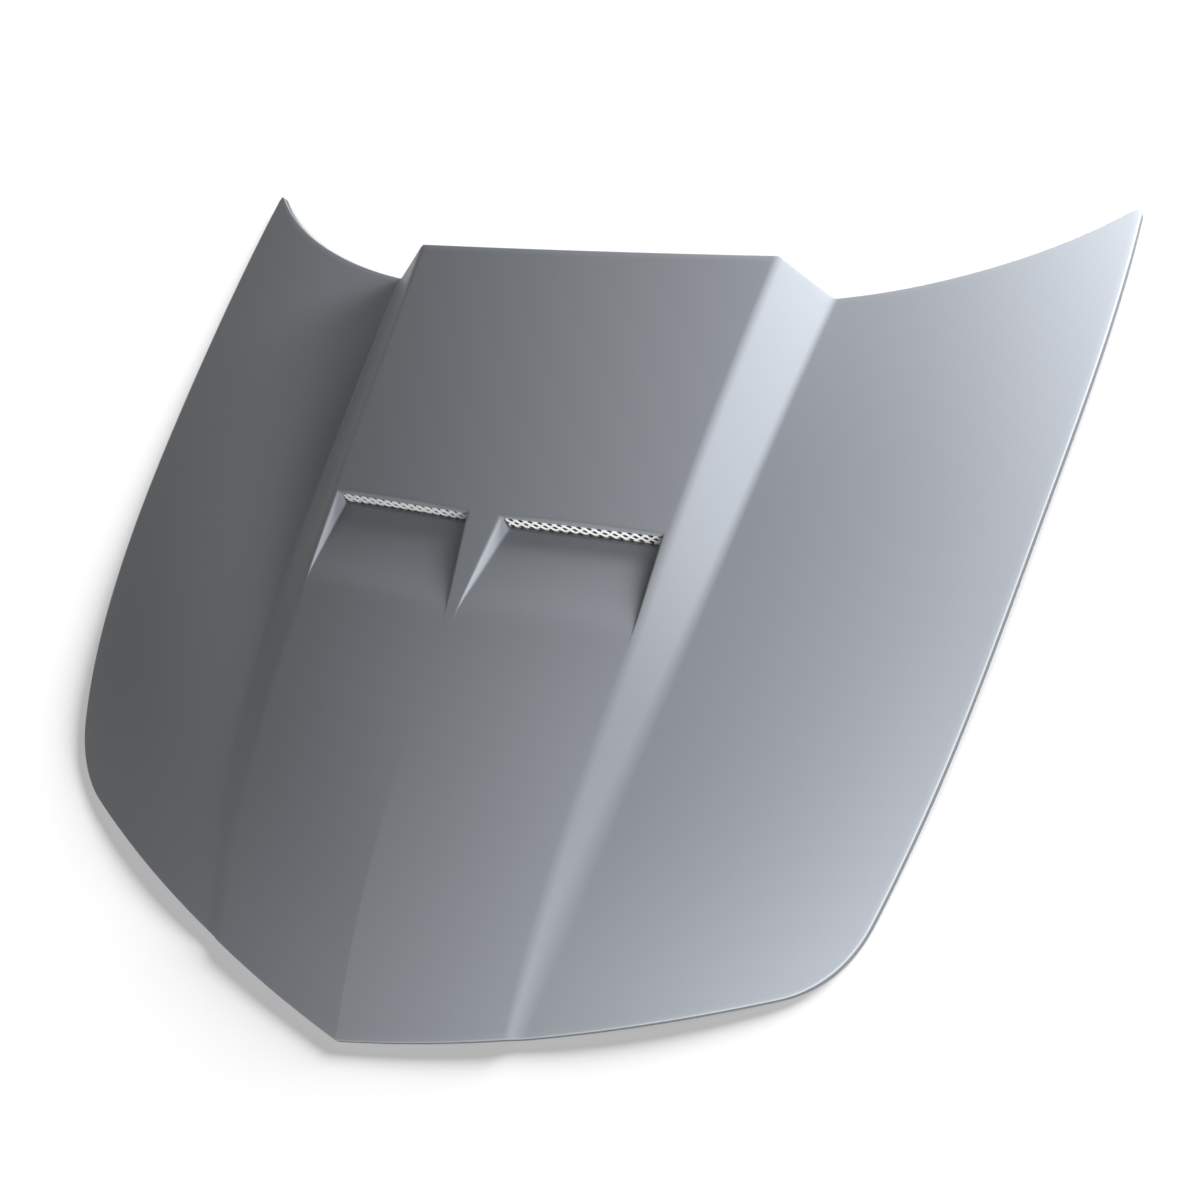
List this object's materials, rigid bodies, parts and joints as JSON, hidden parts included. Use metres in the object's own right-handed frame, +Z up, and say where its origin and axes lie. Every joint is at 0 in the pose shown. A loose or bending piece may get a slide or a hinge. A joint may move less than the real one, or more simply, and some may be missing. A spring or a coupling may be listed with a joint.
{
  "type": "ram air bonnet",
  "caption": "Moulded car bonnet with a raised centre cowl, forward-facing air inlets backed by expanded mesh, and a bonded inner frame with hinge and latch plates.",
  "frame": {"origin": "the middle of the length and width, on the surface that the bonnet's turned-down edge rests on", "axes": "+Z up, away from the engine; -Y towards the front of the car; +X to the car's left"},
  "size_m": [1.532, 1.283, 0.106],
  "materials": {
    "grey_gelcoat": "smooth matt grey gelcoat, ready for paint",
    "frame_moulding": "moulded glass-fibre laminate, slightly textured",
    "bright_mesh": "bright expanded aluminium",
    "zinc_steel": "zinc-plated steel"
  },
  "bodies": {
    "root": {"outer_skin": "grey_gelcoat", "inner_frame": "frame_moulding", "left_inlet_mesh": "bright_mesh", "right_inlet_mesh": "bright_mesh", "left_hinge_plate": "zinc_steel", "right_hinge_plate": "zinc_steel", "latch_plate": "zinc_steel", "hinge_nuts": "zinc_steel", "latch_nuts": "zinc_steel"}
  },
  "joints": []
}
